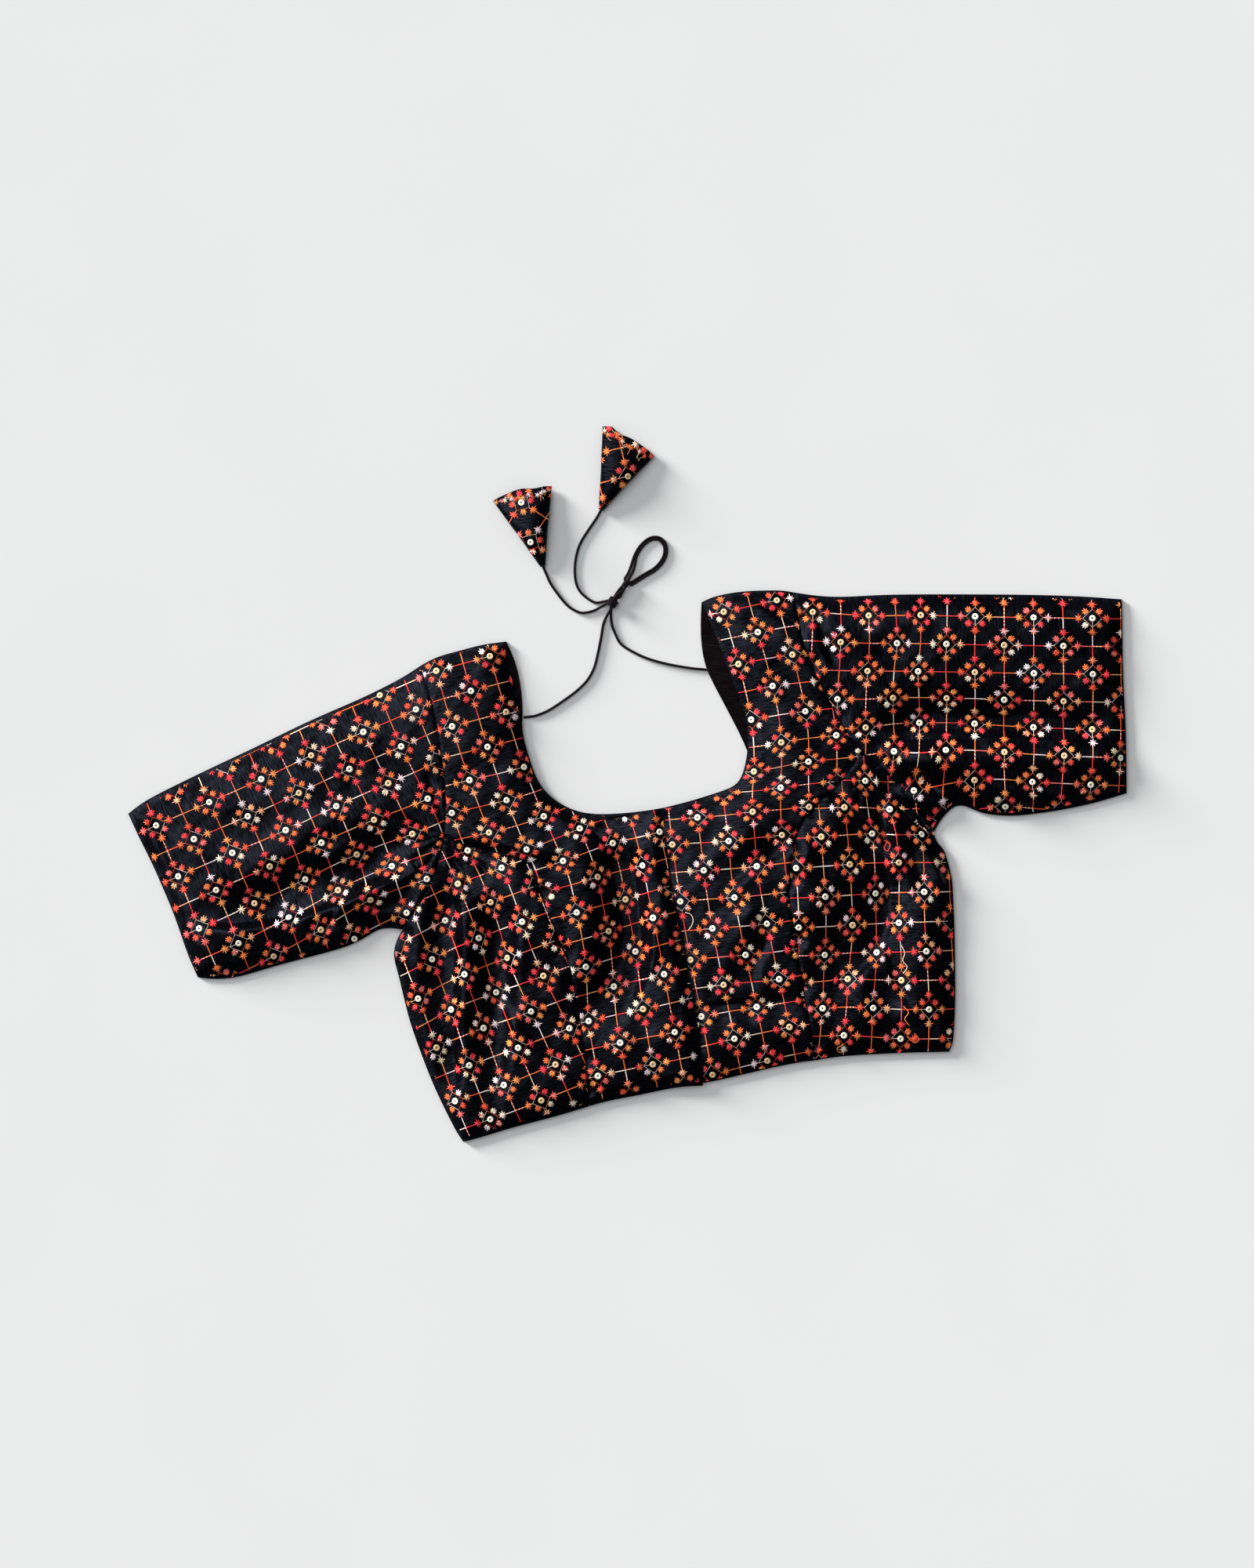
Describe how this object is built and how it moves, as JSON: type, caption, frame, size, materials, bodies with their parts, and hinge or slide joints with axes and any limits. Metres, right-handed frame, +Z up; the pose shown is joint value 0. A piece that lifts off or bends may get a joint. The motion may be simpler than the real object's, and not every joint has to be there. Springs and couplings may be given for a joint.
{
  "type": "choli blouse",
  "caption": "Short fitted blouse laid flat, front up, with elbow sleeves, princess seams, a lapped front opening and a tied back-neck cord with cloth-cone ends.",
  "frame": {"origin": "on the surface it lies on, under the middle of the box round the cloth, cord and latkans left out", "axes": "+X towards the wearer's left sleeve, +Y from hem to neck, +Z up out of the front"},
  "size_m": [0.7902, 0.566, 0.0118],
  "materials": {
    "embroidered_silk": "black raw silk with a soft slub sheen, embroidered",
    "back_silk": "black raw silk with a plain inner face",
    "cord": "black rolled silk cord"
  },
  "bodies": {
    "root": {"back": "back_silk", "front_centre_right": "embroidered_silk", "front_side_right": "embroidered_silk", "front_centre_left": "embroidered_silk", "front_side_left": "embroidered_silk", "sleeve_right": "embroidered_silk", "sleeve_left": "embroidered_silk", "neck_cord_right": "cord", "neck_cord_left": "cord", "tail_right": "cord", "tail_left": "cord", "loop_outer": "cord", "loop_inner": "cord", "knot": "cord", "latkan_right": "embroidered_silk", "latkan_left": "embroidered_silk"}
  },
  "joints": []
}
